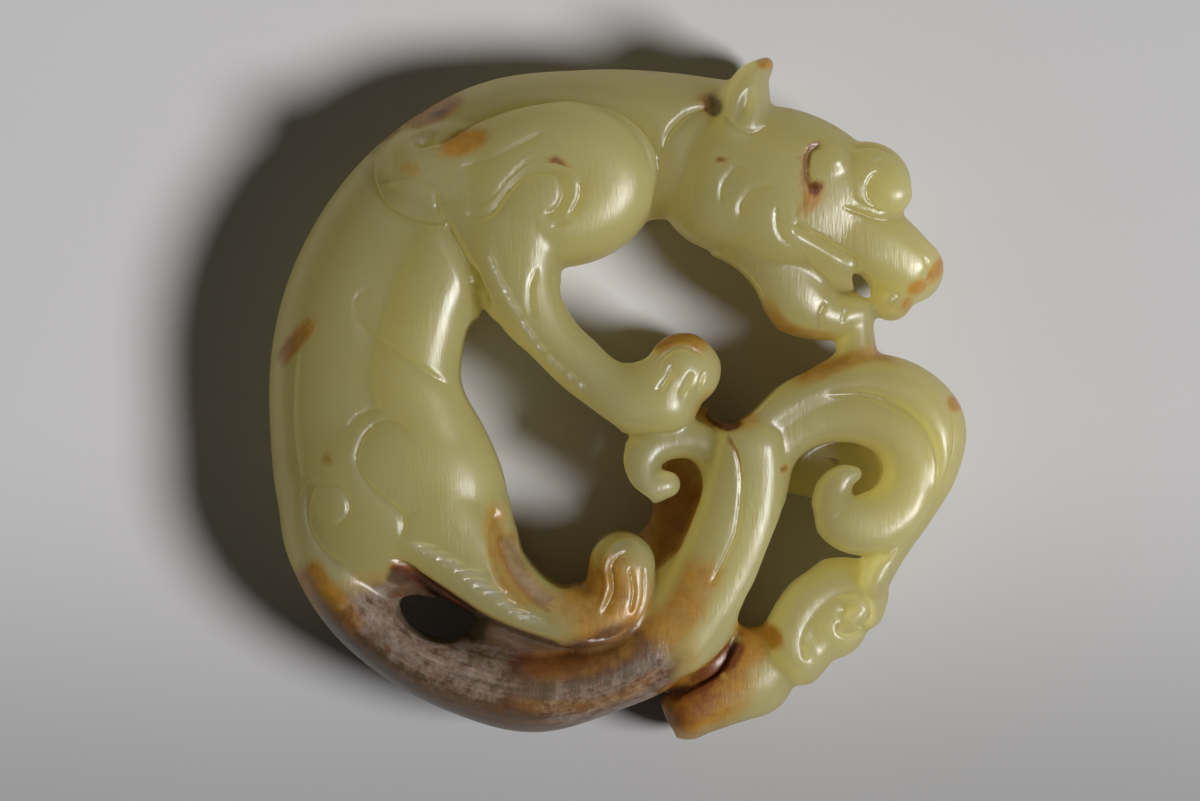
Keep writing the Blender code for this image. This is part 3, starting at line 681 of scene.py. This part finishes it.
class Bench:
    """The node tree of one finish."""

    def __init__(self, name):
        self.material = bpy.data.materials.new(name)
        self.material.use_nodes = True
        self.tree = self.material.node_tree
        self.shader = self.tree.nodes["Principled BSDF"]
        self.output = self.tree.nodes["Material Output"]

    def put(self, place, value):
        if isinstance(value, Wire):
            self.tree.links.new(value.socket, place)
        else:
            place.default_value = value

    def node(self, kind, settings=(), output=0, places=()):
        """Add a node: settings are set first, then its sockets take values or wires."""
        node = self.tree.nodes.new("ShaderNode" + kind)
        for name, value in dict(settings).items():
            setattr(node, name, value)
        for name, value in dict(places).items():
            self.put(node.inputs[name], value)
        return Wire(self.tree, node.outputs[output])

    def noise(self, where, scale, detail=4.0, rough=0.5):
        return self.node("TexNoise", (), 0, {"Vector": where, "Scale": scale, "Detail": detail,
                                             "Roughness": rough})

    def blend(self, share, under, over):
        """Mix two colours."""
        return self.node("Mix", {"data_type": "RGBA"}, 2, {0: share, 6: under, 7: over})

    def stretched(self, where, scales, turn=0.0):
        """The same place, stretched along its axes."""
        return self.node("Mapping", (), 0, {"Vector": where, "Rotation": (0, 0, turn),
                                            "Scale": scales})

    def layer(self, name):
        """A stain that was painted on the mesh."""
        return self.node("Attribute", {"attribute_name": name}, 2)


jade = Bench("polished celadon jade")
place = jade.node("TexCoord", (), 3)
cloud = jade.noise(place, 70.0, 3.0)
fleck = jade.noise(place, 420.0, 5.0, 0.6)
along = jade.node("Attribute", {"attribute_name": "flow"}, 1)
streaks = jade.noise(jade.stretched(along, (0.7, 1.6, 0.6)), 1.0, 5.0, 0.6)

CELADON = (0.44, 0.40, 0.15, 1)
CELADON_PALE = (0.51, 0.475, 0.225, 1)
OCHRE = (0.52, 0.27, 0.025, 1)
OCHRE_DEEP = (0.26, 0.10, 0.008, 1)
RUSSET = (0.13, 0.028, 0.006, 1)
UMBER = (0.056, 0.025, 0.014, 1)
UMBER_LIGHT = (0.15, 0.08, 0.042, 1)
CHALK = (0.29, 0.22, 0.18, 1)
FUR_PAINTED_HIGHLIGHT = (0.68, 0.64, 0.40, 1)

skin = jade.blend(cloud, CELADON, CELADON_PALE)
# Painted highlight on the fur strokes, from the pale layer.
skin = jade.blend(jade.layer("pale") * 0.8, skin, FUR_PAINTED_HIGHLIGHT)
mottle = jade.noise(place, 900.0, 4.0, 0.75)
ochre = (jade.layer("ochre") * (1.35 + fleck.around(3.2))).held()
russet = (jade.layer("russet") * (1.4 + fleck.around(4.5))).held()
buried = (jade.layer("chalk") * 2.2 + cloud.around(0.8) - 0.7).held()
haze = (jade.layer("haze") * 1.2 + streaks.around(1.1) + mottle.around(2.6) - 0.65).held()
crust = jade.blend((streaks * 1.5 + mottle.around(1.8) - 0.35).held(), UMBER, UMBER_LIGHT)
crust = jade.blend(haze, crust, CHALK)
rust = ((jade.noise(place, 1000.0, 2.0) - 0.6) * 9.0).held()
crust = jade.blend(rust * 0.6, crust, RUSSET)
rind = jade.blend(buried, OCHRE, crust)
amber = jade.blend((mottle * 2.2 - 0.6).held(), OCHRE_DEEP, OCHRE)
rind = jade.blend(ochre * (0.9 - buried * 0.5), rind, amber)
rind = jade.blend(russet * (0.9 - buried * 0.4), rind, RUSSET)
skin = jade.blend(ochre * 0.8, skin, amber)
covered = (buried * 0.92 + ochre * 0.45 + russet * 0.8).held()

scratches = jade.noise(jade.stretched(place, (900.0, 160.0, 400.0), 0.7), 3.0, 4.0, 0.7)
hand = jade.noise(place, 260.0, 2.0)
relief = jade.node("Bump", (), 0, {"Strength": 1.0, "Distance": 0.00004,
                                   "Height": scratches + hand * 2.0})

jade.put(jade.shader.inputs["Base Color"], skin)
jade.put(jade.shader.inputs["Roughness"], hand * 0.2 + 0.26)
jade.put(jade.shader.inputs["Normal"], relief)
jade.put(jade.shader.inputs["IOR"], 1.61)
jade.put(jade.shader.inputs["Specular IOR Level"], 0.9)
jade.put(jade.shader.inputs["Subsurface Weight"], 1.0)
jade.put(jade.shader.inputs["Subsurface Radius"], (1.0, 0.9, 0.5))
jade.put(jade.shader.inputs["Subsurface Scale"], 0.03)
glow = jade.node("BsdfTranslucent", (), 0, {"Color": (0.95, 0.86, 0.50, 1)})
warm_glow = jade.node("BsdfTranslucent", (), 0, {"Color": (0.85, 0.42, 0.06, 1)})
glow = jade.node("MixShader", (), 0, {0: ochre, 1: glow, 2: warm_glow})
body = Wire(jade.tree, jade.shader.outputs[0])
body = jade.node("MixShader", (), 0, {0: 0.45, 1: body, 2: glow})
stony = jade.node("BsdfPrincipled", (), 0, {
    "Base Color": rind, "Roughness": 0.36, "IOR": 1.58, "Normal": relief,
    "Subsurface Weight": 0.6, "Subsurface Radius": (1.0, 0.5, 0.12), "Subsurface Scale": 0.003})
body = jade.node("MixShader", (), 0, {0: covered, 1: body, 2: stony})
jade.put(jade.output.inputs["Surface"], body)
mesh.materials.clear()
mesh.materials.append(jade.material)


# The studio: a pale table with painted shade towards its front edge and its right, one soft lamp
# to the right and a faint even light.
bpy.ops.mesh.primitive_plane_add(size=3.0, location=(0, 0, 0))
table = bpy.context.active_object
table.name = "table_top"
paper = Bench("pale table")
spread = paper.node("TexCoord", (), 3)
sideways = paper.node("SeparateXYZ", (), 0, {"Vector": spread})
upward = paper.node("SeparateXYZ", (), 1, {"Vector": spread})
TABLE_TONE = 0.635
# Painted shade on the table: its colour darkens towards the front edge, and towards the right to
# even out the lamp's stronger light there.
RIGHT_PAINTED_SHADE = 0.13
NEAR_PAINTED_SHADE = 0.40
painted_shade_near = eased((upward * -24.0).held())
painted_shade_right = eased((sideways * 8.0 + 0.5).held())
tone = (TABLE_TONE - painted_shade_right * RIGHT_PAINTED_SHADE) * (1.0 - painted_shade_near * NEAR_PAINTED_SHADE)
paper.put(paper.shader.inputs["Base Color"], paper.blend(tone, (0, 0, 0, 1), (1, 0.985, 0.99, 1)))
paper.put(paper.shader.inputs["Roughness"], 0.7)
table.data.materials.append(paper.material)

LAMP_HEIGHT = math.radians(50)
LAMP_BEARING = math.radians(-17)
LAMP_DISTANCE = 0.8
lamp = bpy.data.lights.new("key", "AREA")
lamp.shape = "DISK"
lamp.energy = 6.9
lamp.size = 0.25
key = bpy.data.objects.new("key", lamp)
key.location = (LAMP_DISTANCE * math.cos(LAMP_HEIGHT) * math.cos(LAMP_BEARING),
                LAMP_DISTANCE * math.cos(LAMP_HEIGHT) * math.sin(LAMP_BEARING),
                LAMP_DISTANCE * math.sin(LAMP_HEIGHT))
key.rotation_euler = (-key.location).to_track_quat("-Z", "Y").to_euler()
bpy.context.scene.collection.objects.link(key)

world = bpy.data.worlds.new("studio")
world.use_nodes = True
world.node_tree.nodes["Background"].inputs["Color"].default_value = (1, 0.97, 0.93, 1)
world.node_tree.nodes["Background"].inputs["Strength"].default_value = 0.05
bpy.context.scene.world = world

# The camera looks straight down. One hundredth of the beast's width is 7 pixels of 1200.
PIXELS_PER_UNIT = 7.0
PICTURE_WIDTH = 1200
PICTURE_MIDDLE = (-20 / PIXELS_PER_UNIT, -0.5 / PIXELS_PER_UNIT)
CAMERA_HEIGHT = 0.50
FACE_HEIGHT = 0.011
camera = bpy.data.cameras.new("camera")
camera.sensor_width = 36.0
view_width = PICTURE_WIDTH / PIXELS_PER_UNIT * ACROSS
camera.lens = camera.sensor_width * (CAMERA_HEIGHT - FACE_HEIGHT) / view_width
eye = bpy.data.objects.new("camera", camera)
eye.location = ((PICTURE_MIDDLE[0] - GRID_MIDDLE[0]) * ACROSS,
                (PICTURE_MIDDLE[1] - GRID_MIDDLE[1]) * ACROSS, CAMERA_HEIGHT)
bpy.context.scene.collection.objects.link(eye)
bpy.context.scene.camera = eye
bpy.context.scene.view_settings.view_transform = "Standard"
